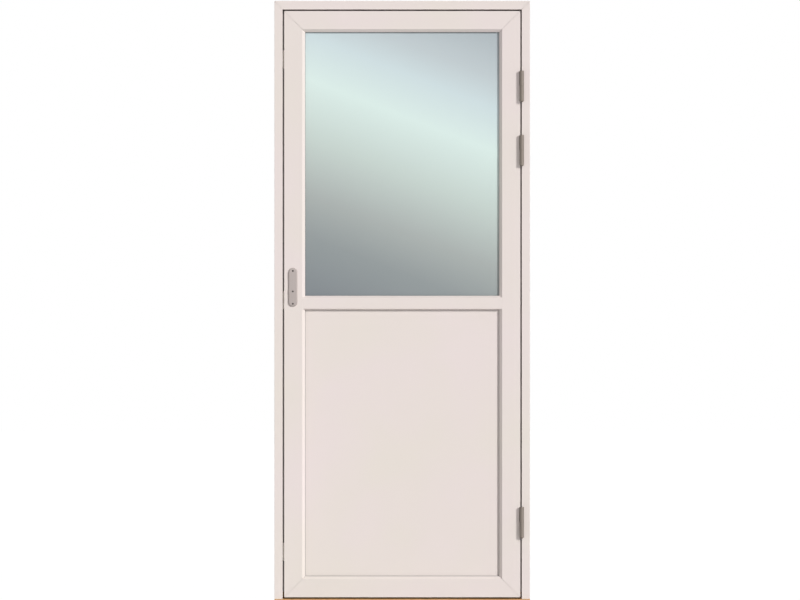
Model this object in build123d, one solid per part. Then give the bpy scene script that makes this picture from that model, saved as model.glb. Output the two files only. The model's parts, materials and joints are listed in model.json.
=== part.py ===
"""Outward-opening patio door in its frame: a timber leaf and frame with aluminium cladding outside.

Seen from outside, +X is to the right, outside faces -Y and +Z is up. All sizes are in millimetres.
The origin is on the underside of the threshold, in the middle of its width and of the timber's depth.
The leaf is shut. It hangs on three lift-off hinges at the right and swings outwards.
"""

from build123d import *
import os

# Frame, outside to outside
FRAME_WIDTH = 880
FRAME_HEIGHT = 2080
FRAME_DEPTH = 115
FRAME_FACE_SIDE = 28.5
FRAME_FACE_HEAD = 30
FRAME_CLAD_DEPTH = 14
FRAME_CLAD_LAP = 6
STOP_LAP = 10
FRAME_ARRIS = 3

# Threshold
SILL_FRONT_HEIGHT = 20.5
SILL_BACK_HEIGHT = 24
SILL_NOSE = 6
SILL_NOSE_RADIUS = 3
SILL_DRIP_RADIUS = 2.5
SILL_DRIP_SETBACK = 9
UPSTAND_RADIUS = 3
RAIL_THICKNESS = 2
RAIL_RIBS = 4
RAIL_RIB_WIDTH = 2
RAIL_RIB_HEIGHT = 0.8

# Clearances round the leaf
GAP_SIDE = 5
GAP_TOP = 5
GAP_BOTTOM = 5
GAP_REAR = 6

# Leaf cladding
CLAD_WALL = 2
CLAD_RADIUS = 1
LEAF_PROUD = 2
LEAF_CLAD_DEPTH = 16
LEAF_FACE = 62.5
BEVEL_WIDTH = 10
BEVEL_DEPTH = 9
CLAD_FOOT = 10
MITRE_GAP = 0.6

# Crossbar between the glass and the panel
CROSSBAR_Z = 1038.3
CROSSBAR_FACE = 37.5
CROSSBAR_BEVEL_TOP = 7.6
CROSSBAR_BEVEL_BOTTOM = 3.6

# Leaf timber
LEAF_TIMBER_DEPTH = 56
TIMBER_INSET = 4
GLAZING_REBATE = 17
LEAF_ARRIS = 3

# Glass unit and panel
PANE = 4
PANE_SPACE = 12
GLAZING_EDGE_GAP = 3
GASKET_DEPTH = 4
GASKET_WIDTH = 7
GASKET_SHOW = 0.3
TAPE_WIDTH = 12
SPACER_WIDTH = 8
SPACER_INSET = 3
PANEL_SKIN = 3

# Seal on the frame's stop
SEAL_WIDTH = 6
SEAL_HEIGHT = 5
SEAL_SETBACK = 1.5

# Strikes in the lock jamb
STRIKE_LENGTH = 62
STRIKE_THICKNESS = 2
STRIKE_LEG = 45
STRIKE_TAB = 13
STRIKE_RISE = 152.5
STRIKE_BELOW_SPINDLE = 29.5
STRIKE_DROP = 162.5
STRIKE_SLOT = 24
STRIKE_SLOT_WIDTH = 9
STRIKE_POCKET = 10

# Lock edge of the leaf
LOCK_PLATE_WIDTH = 16
LOCK_PLATE_THICKNESS = 3
LOCK_PLATE_END = 70
LOCK_AXIS_DEPTH = 28
BOLT_LENGTH = 20
BOLT_WIDTH = 7
BOLT_PROUD = 1
BOLT_BODY = 24
SLIP = 0.3

# Cover plate outside and handle inside
HANDLE_BACKSET = 30
COVER_WIDTH = 32
COVER_LENGTH = 134.5
COVER_ABOVE_SPINDLE = 14.25
COVER_THICKNESS = 6
COVER_BEVEL = 3.5
COVER_BEVEL_DEPTH = 5
COVER_SCREWS_FROM_SPINDLE = (-42.5, 0, 70.5)
COVER_SCREW_RADIUS = 3.2
COVER_SCREW_DEPTH = 1.5
SPINDLE_Z = 1079.5
BACK_PLATE_WIDTH = 22
BACK_PLATE_LENGTH = 150
BACK_PLATE_THICKNESS = 8
BACK_PLATE_BEVEL = 2
LEVER_HUB_RADIUS = 9.5
LEVER_HUB_LENGTH = 8
LEVER_STANDOFF = 38
LEVER_REACH = 122
LEVER_BEND = 16
LEVER_HEIGHT = 17
LEVER_DEPTH = 11
LEVER_ROUNDING = 5
LEVER_TIP_BEVEL = 1.5

# Lift-off hinges
HINGE_RISE = 311
HINGE_DROPS = (427, 206)
HINGE_RADIUS = 7.5
HINGE_LENGTH = 108.5
HINGE_UPPER = 52
HINGE_SEAM = 0.4
HINGE_TIP = 5
HINGE_TIP_RADIUS = 3
HINGE_FACE_CLEARANCE = 3
HINGE_PIN_RADIUS = 4
HINGE_PIN_LENGTH = 38
HINGE_PIN_CLEARANCE = 0.06
HINGE_BORE_END = 2
FLAG_THICKNESS = 4
FLAG_REACH = 41
FLAG_RECESS = 1.5
FLAG_CORNER = 6
FLAG_END_GAP = 3
LEAF_FLAG_THICKNESS = 3.5
LEAF_FLAG_CRANK = 1.5
LEAF_FLAG_OVERLAP = 5
NOTCH_CLEARANCE = 1

# Fixing holes through the jambs
FIXING_RADIUS = 7
FIXING_RISE = 100
FIXING_DROP = 120
FIXING_COUNT = 4

# Depths, measured along Y
FRONT = -FRAME_DEPTH / 2
BACK = FRAME_DEPTH / 2
TIMBER_FRONT = FRONT + FRAME_CLAD_DEPTH
LEAF_FRONT = FRONT - LEAF_PROUD
LEAF_BACK = TIMBER_FRONT + LEAF_TIMBER_DEPTH
STOP_FRONT = LEAF_BACK + GAP_REAR
GLAZING_FRONT = LEAF_FRONT + LEAF_CLAD_DEPTH
GLAZING_DEPTH = 3 * PANE + 2 * PANE_SPACE
TAPE_DEPTH = 2
LIP_FRONT = GLAZING_FRONT + GLAZING_DEPTH + TAPE_DEPTH

# Upright rectangles as (left, bottom, right, top)
FRAME_BOX = (-FRAME_WIDTH / 2, 0, FRAME_WIDTH / 2, FRAME_HEIGHT)
CLAD_OPENING = (
    FRAME_BOX[0] + FRAME_FACE_SIDE,
    0,
    FRAME_BOX[2] - FRAME_FACE_SIDE,
    FRAME_BOX[3] - FRAME_FACE_HEAD,
)
SILL_SLOPE = (SILL_BACK_HEIGHT - SILL_FRONT_HEIGHT) / (STOP_FRONT - FRONT + SILL_NOSE)
SILL_UNDER_CLAD = SILL_FRONT_HEIGHT + SILL_SLOPE * (GLAZING_FRONT - FRONT + SILL_NOSE)
LEAF_BOX = (
    CLAD_OPENING[0] + GAP_SIDE,
    SILL_UNDER_CLAD + GAP_BOTTOM,
    CLAD_OPENING[2] - GAP_SIDE,
    CLAD_OPENING[3] - GAP_TOP,
)


def inset(box, sides, bottom=None, top=None):
    """A smaller upright rectangle, one distance for all sides or another at the bottom and top."""
    bottom = sides if bottom is None else bottom
    top = sides if top is None else top
    return (box[0] + sides, box[1] + bottom, box[2] - sides, box[3] - top)


TIMBER_BOX = inset(LEAF_BOX, TIMBER_INSET)
STOP_OPENING = inset(TIMBER_BOX, STOP_LAP)
SIGHT_BOX = inset(LEAF_BOX, LEAF_FACE + BEVEL_WIDTH)
CROSSBAR_TOP = CROSSBAR_Z + CROSSBAR_FACE / 2 + CROSSBAR_BEVEL_TOP
CROSSBAR_BOTTOM = CROSSBAR_Z - CROSSBAR_FACE / 2 - CROSSBAR_BEVEL_BOTTOM
GLASS_SIGHT = (SIGHT_BOX[0], CROSSBAR_TOP, SIGHT_BOX[2], SIGHT_BOX[3])
PANEL_SIGHT = (SIGHT_BOX[0], SIGHT_BOX[1], SIGHT_BOX[2], CROSSBAR_BOTTOM)
GLAZING_COVER = GLAZING_REBATE - GLAZING_EDGE_GAP

# Heights of the fittings, from the leaf's ends or from the handle's spindle
HINGE_TOPS_Z = (LEAF_BOX[1] + HINGE_RISE, *(LEAF_BOX[3] - drop for drop in HINGE_DROPS))
STRIKE_Z = (LEAF_BOX[1] + STRIKE_RISE, SPINDLE_Z - STRIKE_BELOW_SPINDLE, LEAF_BOX[3] - STRIKE_DROP)
FIXING_PITCH = (FRAME_HEIGHT - FIXING_RISE - FIXING_DROP) / (FIXING_COUNT - 1)
COVER_Z = SPINDLE_Z + COVER_ABOVE_SPINDLE

HANDLE_X = LEAF_BOX[0] + HANDLE_BACKSET
HINGE_X = CLAD_OPENING[2]
HINGE_Y = FRONT - HINGE_FACE_CLEARANCE - HINGE_RADIUS
REBATE_X = CLAD_OPENING[2] + CLAD_WALL


def upright_face(points):
    """A flat face standing in the XZ plane through the origin, from (x, z) corners."""
    return make_face(Polyline(*[(x, 0, z) for x, z in points], close=True))


def slab(box, front, back):
    """A board standing upright: its rectangle seen from outside, and its depths."""
    left, bottom, right, top = box
    centre = Pos((left + right) / 2, (front + back) / 2, (bottom + top) / 2)
    return centre * Box(right - left, back - front, top - bottom)


def ring(box, width, front, back):
    """A rectangular ring standing upright, its width measured inwards from the rectangle."""
    return slab(box, front, back) - slab(inset(box, width), front, back)


def section(points):
    """A flat section from (distance inwards, depth) corners."""
    return make_face(Polyline(*points, close=True))


def rounded(profile, corners, radius):
    """The profile with the corners nearest to the given points rounded."""
    picked = []
    for corner in corners:
        picked.append(profile.vertices().sort_by_distance(Vector(*corner))[0])
    return fillet(picked, radius)


def side_run(profile, side, box):
    """A section drawn along one side of an upright rectangle, its first axis pointing inwards."""
    left, bottom, right, top = box
    corner, inwards, length = {
        "left": (Vector(left, 0, bottom), Vector(1, 0, 0), top - bottom),
        "top": (Vector(left, 0, top), Vector(0, 0, -1), right - left),
        "right": (Vector(right, 0, top), Vector(-1, 0, 0), top - bottom),
        "bottom": (Vector(right, 0, bottom), Vector(0, 0, 1), right - left),
    }[side]
    plane = Plane(origin=corner, x_dir=inwards, z_dir=inwards.cross(Vector(0, 1, 0)))
    return extrude(plane * profile, length)


def mitre_line(box, widths, upright, level):
    """Points of a mitre from outside its corner inwards, where the faces of both sides cross."""
    x_edge, x_sign = (box[0], 1) if upright == "left" else (box[2], -1)
    z_edge, z_sign = (box[1], 1) if level == "bottom" else (box[3], -1)
    steps = [(0, 0)] + list(zip(widths[upright], widths[level]))
    points = [(x_edge + x_sign * w, z_edge + z_sign * h) for w, h in steps]
    first, second = points[0], points[1]
    outside = (2 * first[0] - second[0], 2 * first[1] - second[1])
    return [outside] + points


def mitre_block(box, widths, side):
    """The block that holds one side of a mitred frame, drawn back by half a joint's gap."""
    if side in ("left", "right"):
        ends = [mitre_line(box, widths, side, level) for level in ("bottom", "top")]
    else:
        ends = [mitre_line(box, widths, upright, side) for upright in ("left", "right")]
    face = upright_face(ends[0] + ends[1][::-1])
    return extrude(offset(face, -MITRE_GAP / 2, kind=Kind.INTERSECTION), FRAME_DEPTH, both=True)


def jamb_profile(cladding_face, stop_edge):
    """Rebated frame timber, for the sides and the head."""
    rebate = cladding_face - CLAD_WALL
    profile = section(
        [
            (0, TIMBER_FRONT),
            (rebate, TIMBER_FRONT),
            (rebate, STOP_FRONT),
            (stop_edge, STOP_FRONT),
            (stop_edge, BACK),
            (0, BACK),
        ]
    )
    return rounded(profile, [(stop_edge, BACK)], FRAME_ARRIS)


def sill_corners():
    """Corners of the threshold's section: an outer slope, and an upstand behind the leaf."""
    nose = FRONT - SILL_NOSE
    return [
        (0, FRONT),
        (SILL_NOSE, nose),
        (SILL_FRONT_HEIGHT, nose),
        (SILL_BACK_HEIGHT, STOP_FRONT),
        (STOP_OPENING[1], STOP_FRONT),
        (STOP_OPENING[1], BACK),
        (0, BACK),
    ]


def threshold_shape():
    """Oak threshold with a rounded nose, a drip groove and a rounded inner arris."""
    corners = sill_corners()
    profile = rounded(section(corners), [corners[2]], SILL_NOSE_RADIUS)
    profile = rounded(profile, [corners[5]], UPSTAND_RADIUS)
    groove = Pos(0, FRONT + SILL_DRIP_SETBACK) * Circle(SILL_DRIP_RADIUS)
    return side_run(profile - groove, "bottom", FRAME_BOX)


def sill_block():
    """The threshold with sharp arrises: what stands on it is cut to this."""
    return side_run(section(sill_corners()), "bottom", FRAME_BOX)


def frame_timbers():
    """Jambs standing on the threshold, and the head between them."""
    side_stop = STOP_OPENING[0] - FRAME_BOX[0]
    head_stop = FRAME_BOX[3] - STOP_OPENING[3]
    jambs = {}
    for side in ("left", "right"):
        jambs[side] = side_run(jamb_profile(FRAME_FACE_SIDE, side_stop), side, FRAME_BOX)
    head = side_run(jamb_profile(FRAME_FACE_HEAD, head_stop), "top", FRAME_BOX)
    head -= [jambs["left"], jambs["right"]]
    for side in jambs:
        jambs[side] -= sill_block()
    return jambs, head


def fixing_holes(side):
    """Holes for the frame screws, through one jamb in its rebate."""
    sign = -1 if side == "left" else 1
    middle = (TIMBER_FRONT + STOP_FRONT) / 2
    holes = []
    for i in range(FIXING_COUNT):
        place = Pos(sign * FRAME_BOX[2], middle, FIXING_RISE + i * FIXING_PITCH)
        holes.append(place * Rot(0, 90, 0) * Cylinder(FIXING_RADIUS, 4 * FRAME_FACE_SIDE))
    return holes


def threshold_rail():
    """Aluminium rail on the oak upstand, with low ribs against slipping."""
    top = STOP_OPENING[1]
    back = BACK - UPSTAND_RADIUS
    profile = section(
        [
            (top, STOP_FRONT),
            (top + RAIL_THICKNESS, STOP_FRONT),
            (top + RAIL_THICKNESS, back),
            (top, back),
        ]
    )
    profile = rounded(profile, [(top + RAIL_THICKNESS, STOP_FRONT)], CLAD_RADIUS)
    rib_pitch = (back - STOP_FRONT) / (RAIL_RIBS + 1)
    for i in range(RAIL_RIBS):
        rib = Rectangle(2 * RAIL_RIB_HEIGHT, RAIL_RIB_WIDTH)
        profile += Pos(top + RAIL_THICKNESS, STOP_FRONT + (i + 1) * rib_pitch) * rib
    between = (STOP_OPENING[0], 0, STOP_OPENING[2], 0)
    return side_run(profile, "bottom", between)


def frame_clad_profile(face):
    """Thin-walled frame cladding with one return at the wall and one lapping the rebate."""
    lap = TIMBER_FRONT + FRAME_CLAD_LAP
    outline = section([(0, FRONT), (face, FRONT), (face, lap), (0, lap)])
    outline = rounded(outline, [(0, FRONT), (face, FRONT)], CLAD_RADIUS)
    hollow = section(
        [
            (CLAD_WALL, FRONT + CLAD_WALL),
            (face - CLAD_WALL, FRONT + CLAD_WALL),
            (face - CLAD_WALL, BACK),
            (-CLAD_WALL, BACK),
            (-CLAD_WALL, TIMBER_FRONT),
            (CLAD_WALL, TIMBER_FRONT),
        ]
    )
    return outline - hollow


def frame_cladding():
    """Mitred cladding down both sides and across the head, standing on the threshold."""
    widths = {"left": (FRAME_FACE_SIDE,), "right": (FRAME_FACE_SIDE,), "top": (FRAME_FACE_HEAD,)}
    widths["bottom"] = (FRAME_FACE_HEAD,)
    faces = {"left": FRAME_FACE_SIDE, "right": FRAME_FACE_SIDE, "top": FRAME_FACE_HEAD}
    below = (FRAME_BOX[0], -FRAME_HEIGHT, FRAME_BOX[2], FRAME_BOX[3])
    pieces = {}
    for side, face in faces.items():
        piece = side_run(frame_clad_profile(face), side, FRAME_BOX)
        pieces[side] = (piece & mitre_block(below, widths, side)) - sill_block()
    return pieces


def leaf_clad_outline(face):
    """Outside outline of the leaf cladding, closed at the glass."""
    return [
        (0, LEAF_FRONT),
        (face, LEAF_FRONT),
        (face + BEVEL_WIDTH, LEAF_FRONT + BEVEL_DEPTH),
        (face + BEVEL_WIDTH, GLAZING_FRONT),
        (0, GLAZING_FRONT),
    ]


def leaf_clad_profile():
    """Thin-walled leaf cladding: face, bevel, a leg to the gasket and a foot on the timber."""
    corners = leaf_clad_outline(LEAF_FACE)
    outline = rounded(section(corners), corners[:3], CLAD_RADIUS)
    inner = LEAF_FACE + BEVEL_WIDTH
    leg_end = GLAZING_FRONT - GASKET_DEPTH
    hollow = offset(outline, -CLAD_WALL, kind=Kind.INTERSECTION)
    hollow += section(
        [
            (CLAD_WALL + CLAD_FOOT, LEAF_FRONT + BEVEL_DEPTH + CLAD_WALL),
            (inner - CLAD_WALL, LEAF_FRONT + BEVEL_DEPTH + CLAD_WALL),
            (inner - CLAD_WALL, leg_end),
            (inner + CLAD_WALL, leg_end),
            (inner + CLAD_WALL, GLAZING_FRONT + CLAD_WALL),
            (CLAD_WALL + CLAD_FOOT, GLAZING_FRONT + CLAD_WALL),
        ]
    )
    return outline - hollow


def crossbar_corners():
    """Outside outline of the crossbar's cladding, from below its lower edge to its upper edge."""
    return [
        (CROSSBAR_BOTTOM, GLAZING_FRONT - GASKET_DEPTH),
        (CROSSBAR_BOTTOM, LEAF_FRONT + BEVEL_DEPTH),
        (CROSSBAR_BOTTOM + CROSSBAR_BEVEL_BOTTOM, LEAF_FRONT),
        (CROSSBAR_TOP - CROSSBAR_BEVEL_TOP, LEAF_FRONT),
        (CROSSBAR_TOP, LEAF_FRONT + BEVEL_DEPTH),
        (CROSSBAR_TOP, GLAZING_FRONT - GASKET_DEPTH),
    ]


def crossbar_cladding():
    """Cladding of the crossbar, its ends scribed over the bevels of the side claddings."""
    corners = crossbar_corners()
    outline = rounded(section(corners), corners[1:5], CLAD_RADIUS)
    hollow = offset(outline, -CLAD_WALL, kind=Kind.INTERSECTION)
    low, high = CROSSBAR_BOTTOM + CLAD_WALL, CROSSBAR_TOP - CLAD_WALL
    start = LEAF_FRONT + BEVEL_DEPTH + CLAD_WALL
    hollow += section([(low, start), (high, start), (high, BACK), (low, BACK)])
    face_edges = (LEAF_BOX[0] + LEAF_FACE, 0, LEAF_BOX[2] - LEAF_FACE, 0)
    bar = side_run(outline - hollow, "bottom", face_edges)
    for side in ("left", "right"):
        bar -= side_run(section(leaf_clad_outline(LEAF_FACE + SLIP)), side, LEAF_BOX)
    return bar


def leaf_cladding():
    """Four mitred claddings round the leaf."""
    sides = ("left", "right", "top", "bottom")
    widths = {side: (LEAF_FACE + BEVEL_WIDTH,) for side in sides}
    profile = leaf_clad_profile()
    pieces = {}
    for side in sides:
        pieces[side] = side_run(profile, side, LEAF_BOX) & mitre_block(LEAF_BOX, widths, side)
    return pieces


def leaf_timber_corners():
    """Corners of the leaf's timber: a rebate for the glass outside, a lip that holds it inside."""
    sight = SIGHT_BOX[0] - TIMBER_BOX[0]
    return [
        (0, TIMBER_FRONT),
        (sight - GLAZING_REBATE, TIMBER_FRONT),
        (sight - GLAZING_REBATE, LIP_FRONT),
        (sight, LIP_FRONT),
        (sight, LEAF_BACK),
        (0, LEAF_BACK),
    ]


def leaf_timber_profile():
    """The leaf's timber with both arrises rounded inside."""
    corners = leaf_timber_corners()
    return rounded(section(corners), corners[4:], LEAF_ARRIS)


def mid_rail_profile():
    """Timber of the crossbar, rebated for the glass above and the panel below."""
    low, high = CROSSBAR_BOTTOM, CROSSBAR_TOP
    profile = section(
        [
            (low + GLAZING_REBATE, TIMBER_FRONT),
            (high - GLAZING_REBATE, TIMBER_FRONT),
            (high - GLAZING_REBATE, LIP_FRONT),
            (high, LIP_FRONT),
            (high, LEAF_BACK),
            (low, LEAF_BACK),
            (low, LIP_FRONT),
            (low + GLAZING_REBATE, LIP_FRONT),
        ]
    )
    return rounded(profile, [(low, LEAF_BACK), (high, LEAF_BACK)], LEAF_ARRIS)


def leaf_timbers():
    """Stiles right up, with the rails coped between them."""
    profile = leaf_timber_profile()
    stiles = {}
    for side in ("left", "right"):
        stiles[side] = side_run(profile, side, TIMBER_BOX)
    level = (TIMBER_BOX[0], 0, TIMBER_BOX[2], 0)
    rails = {
        "top": side_run(profile, "top", TIMBER_BOX),
        "mid": side_run(mid_rail_profile(), "bottom", level),
        "bottom": side_run(profile, "bottom", TIMBER_BOX),
    }
    for side in stiles:
        square = side_run(section(leaf_timber_corners()), side, TIMBER_BOX)
        for name in rails:
            rails[name] -= square
    return stiles, rails


def glass_unit():
    """Three panes with a spacer round each of the two spaces."""
    edge = inset(GLASS_SIGHT, -GLAZING_COVER)
    panes = {}
    spacers = []
    for i, name in enumerate(("glass_outer", "glass_middle", "glass_inner")):
        front = GLAZING_FRONT + i * (PANE + PANE_SPACE)
        panes[name] = slab(edge, front, front + PANE)
        if i < 2:
            space = (front + PANE, front + PANE + PANE_SPACE)
            spacers.append(ring(inset(edge, SPACER_INSET), SPACER_WIDTH, *space))
    return panes, Compound(children=spacers)


def panel_layers():
    """Flat panel below the crossbar: a skin each side of an insulating core."""
    edge = inset(PANEL_SIGHT, -GLAZING_COVER)
    depths = [GLAZING_FRONT, GLAZING_FRONT + PANEL_SKIN]
    depths += [GLAZING_FRONT + GLAZING_DEPTH - PANEL_SKIN, GLAZING_FRONT + GLAZING_DEPTH]
    names = ("panel_outer_skin", "panel_core", "panel_inner_skin")
    return {name: slab(edge, depths[i], depths[i + 1]) for i, name in enumerate(names)}


def glazing_rings(show, width, front, back):
    """One ring round the glass and one round the panel, showing a little past the sight lines."""
    rings = []
    for sight in (GLASS_SIGHT, PANEL_SIGHT):
        rings.append(ring(inset(sight, show - width), width, front, back))
    return Compound(children=rings)


def frame_seal():
    """Compression seal on the stop, just clear of the leaf."""
    box = inset(STOP_OPENING, -SEAL_SETBACK - SEAL_WIDTH)
    seal = ring(box, SEAL_WIDTH, STOP_FRONT - SEAL_HEIGHT, STOP_FRONT)
    front_edges = seal.edges().group_by(Axis.Y)[0]
    return fillet(front_edges, SEAL_WIDTH / 2 - SLIP)


def strike_shape(length, width, leg_depth, tab):
    """An angle in the corner of the lock jamb's rebate, seen in plan."""
    x = -REBATE_X
    leg = (x - width, 0, x, length)
    front = STOP_FRONT - leg_depth
    angle = slab(leg, front, STOP_FRONT + STRIKE_THICKNESS)
    return angle + slab((x - width, 0, x + tab, length), STOP_FRONT, STOP_FRONT + STRIKE_THICKNESS)


def lock_axis_y():
    """Depth of the lock's bolts."""
    return TIMBER_FRONT + LOCK_AXIS_DEPTH


def strikes():
    """Three keepers let in flush, each with a slot for its bolt, and their pockets in the jamb."""
    pieces = []
    pockets = []
    for z in STRIKE_Z:
        place = Pos(0, 0, z - STRIKE_LENGTH / 2)
        body = place * strike_shape(STRIKE_LENGTH, STRIKE_THICKNESS, STRIKE_LEG, STRIKE_TAB)
        slot_box = (-REBATE_X - STRIKE_POCKET, z - STRIKE_SLOT / 2, -REBATE_X, z + STRIKE_SLOT / 2)
        half = STRIKE_SLOT_WIDTH / 2
        slot = slab(slot_box, lock_axis_y() - half, lock_axis_y() + half)
        pieces.append(body - slot)
        pockets += [body, slot]
    return pieces, pockets


def lock_plate():
    """Long faceplate let into the leaf's lock edge, with a slot at each bolt."""
    x = TIMBER_BOX[0]
    low, high = SIGHT_BOX[1] - LOCK_PLATE_END / 2, SIGHT_BOX[3] + LOCK_PLATE_END / 2
    box = (x, low, x + LOCK_PLATE_THICKNESS, high)
    half = LOCK_PLATE_WIDTH / 2
    plate = slab(box, lock_axis_y() - half, lock_axis_y() + half)
    return fillet(plate.edges().filter_by(Axis.X), half - SLIP)


def bolt_block(z, grow):
    """One retracted bolt in the leaf's lock edge, or its slot when it is grown by a clearance."""
    x = TIMBER_BOX[0]
    half_length = BOLT_LENGTH / 2 + grow
    half_width = BOLT_WIDTH / 2 + grow
    box = (x - BOLT_PROUD - grow, z - half_length, x + BOLT_BODY, z + half_length)
    return slab(box, lock_axis_y() - half_width, lock_axis_y() + half_width)


def stadium(width, length, thickness, centre_z, front, direction):
    """A plate with round ends standing on a face, rising towards the outside or the inside."""
    plane = Plane(origin=(HANDLE_X, front, centre_z), x_dir=(0, 0, 1), z_dir=(0, direction, 0))
    return extrude(plane * SlotOverall(length, width), thickness)


def cover_plate():
    """Cover plate outside, with a bevelled rim and three sunk screw places."""
    plate = stadium(COVER_WIDTH, COVER_LENGTH, COVER_THICKNESS, COVER_Z, LEAF_FRONT, -1)
    front = plate.faces().sort_by(Axis.Y)[0]
    plate = chamfer(front.edges(), COVER_BEVEL, COVER_BEVEL_DEPTH, reference=front)
    face = LEAF_FRONT - COVER_THICKNESS
    for rise in COVER_SCREWS_FROM_SPINDLE:
        hole = Cylinder(COVER_SCREW_RADIUS, 2 * COVER_SCREW_DEPTH)
        plate -= Pos(HANDLE_X, face, SPINDLE_Z + rise) * Rot(90, 0, 0) * hole
    return plate


def handle_plate():
    """Slim back plate of the handle, inside."""
    plate = stadium(BACK_PLATE_WIDTH, BACK_PLATE_LENGTH, BACK_PLATE_THICKNESS, SPINDLE_Z, LEAF_BACK, 1)
    return chamfer(plate.edges().group_by(Axis.Y)[-1], BACK_PLATE_BEVEL)


def handle_lever():
    """Lever in the open position, bent from its neck towards the hinges."""
    base = LEAF_BACK + BACK_PLATE_THICKNESS
    bend_start = base + LEVER_STANDOFF - LEVER_DEPTH / 2 - LEVER_BEND
    foot = Plane(origin=(HANDLE_X, base, SPINDLE_Z), x_dir=(0, 0, 1), z_dir=(0, 1, 0))
    outline = foot * RectangleRounded(LEVER_HEIGHT, LEVER_DEPTH, LEVER_ROUNDING)
    neck = extrude(outline, bend_start - base)
    bend_axis = Axis((HANDLE_X + LEVER_BEND, bend_start, SPINDLE_Z), (0, 0, -1))
    bend = revolve(neck.faces().sort_by(Axis.Y)[-1], bend_axis, 90)
    grip = extrude(bend.faces().sort_by(Axis.X)[-1], LEVER_REACH - LEVER_BEND)
    grip = chamfer(grip.faces().sort_by(Axis.X)[-1].edges(), LEVER_TIP_BEVEL)
    hub = Pos(HANDLE_X, base + LEVER_HUB_LENGTH / 2, SPINDLE_Z) * Rot(90, 0, 0)
    return neck + bend + grip + hub * Cylinder(LEVER_HUB_RADIUS, LEVER_HUB_LENGTH)


def upright_cylinder(radius, bottom, top):
    """A cylinder on the hinges' axis."""
    return Pos(HINGE_X, HINGE_Y, (bottom + top) / 2) * Cylinder(radius, top - bottom)


def flag_plate(left, right, front, back, bottom, top):
    """A hinge flag, its two far corners cut off."""
    plate = slab((left, bottom, right, top), front, back)
    far = plate.edges().filter_by(Axis.X).group_by(Axis.Y)[-1]
    return chamfer(far, FLAG_CORNER)


def frame_flag(top, grow=0.0):
    """Flag of a hinge's lower half, let into the hinge jamb."""
    bottom = top - HINGE_LENGTH + FLAG_END_GAP
    seam = top - HINGE_UPPER - HINGE_SEAM - FLAG_END_GAP
    left = REBATE_X + FLAG_RECESS - FLAG_THICKNESS
    back = TIMBER_FRONT + FLAG_REACH
    right = REBATE_X + FLAG_RECESS
    return flag_plate(left - grow, right + grow, HINGE_Y, back, bottom - grow, seam + grow)


def hinge_lower(top):
    """Lower half of a hinge: knuckle with a tapered tip, pin and flag."""
    bottom, seam = top - HINGE_LENGTH, top - HINGE_UPPER - HINGE_SEAM
    knuckle = upright_cylinder(HINGE_RADIUS, bottom + HINGE_TIP, seam)
    tip_middle = Pos(HINGE_X, HINGE_Y, bottom + HINGE_TIP / 2)
    knuckle += tip_middle * Cone(HINGE_TIP_RADIUS, HINGE_RADIUS, HINGE_TIP)
    pin = upright_cylinder(HINGE_PIN_RADIUS, seam - HINGE_PIN_RADIUS, seam + HINGE_PIN_LENGTH)
    return knuckle + pin + frame_flag(top)


def leaf_flag(top, grow=0.0):
    """Cranked flag of a hinge's upper half, lying on the leaf's hinge edge."""
    bottom, high = top - HINGE_UPPER + FLAG_END_GAP, top - FLAG_END_GAP
    edge = TIMBER_BOX[2]
    crank = TIMBER_FRONT - LEAF_FLAG_OVERLAP
    back = TIMBER_FRONT + FLAG_REACH
    rear = flag_plate(edge, edge + LEAF_FLAG_THICKNESS, crank, back, bottom, high)
    left = edge + LEAF_FLAG_CRANK
    box = (left - grow, bottom - grow, left + LEAF_FLAG_THICKNESS + grow, high + grow)
    return rear + slab(box, HINGE_Y, TIMBER_FRONT)


def hinge_upper(top):
    """Upper half of a hinge: knuckle bored for the pin, and flag."""
    bottom = top - HINGE_UPPER
    knuckle = upright_cylinder(HINGE_RADIUS, bottom, top)
    bore_top = bottom - HINGE_SEAM + HINGE_PIN_LENGTH + HINGE_BORE_END
    bore = upright_cylinder(HINGE_PIN_RADIUS + HINGE_PIN_CLEARANCE, bottom - HINGE_SEAM, bore_top)
    return knuckle + leaf_flag(top) - bore


def flag_notches(frame_half):
    """Cuts in the cladding that let the hinge flags through."""
    notches = []
    for top in HINGE_TOPS_Z:
        if frame_half:
            notches.append(frame_flag(top, NOTCH_CLEARANCE))
        else:
            flag = leaf_flag(top, NOTCH_CLEARANCE)
            beside = (TIMBER_BOX[2], top - HINGE_UPPER, LEAF_BOX[2], top)
            notches += [flag, slab(beside, TIMBER_FRONT - LEAF_FLAG_OVERLAP, TIMBER_FRONT)]
    return notches


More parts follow.
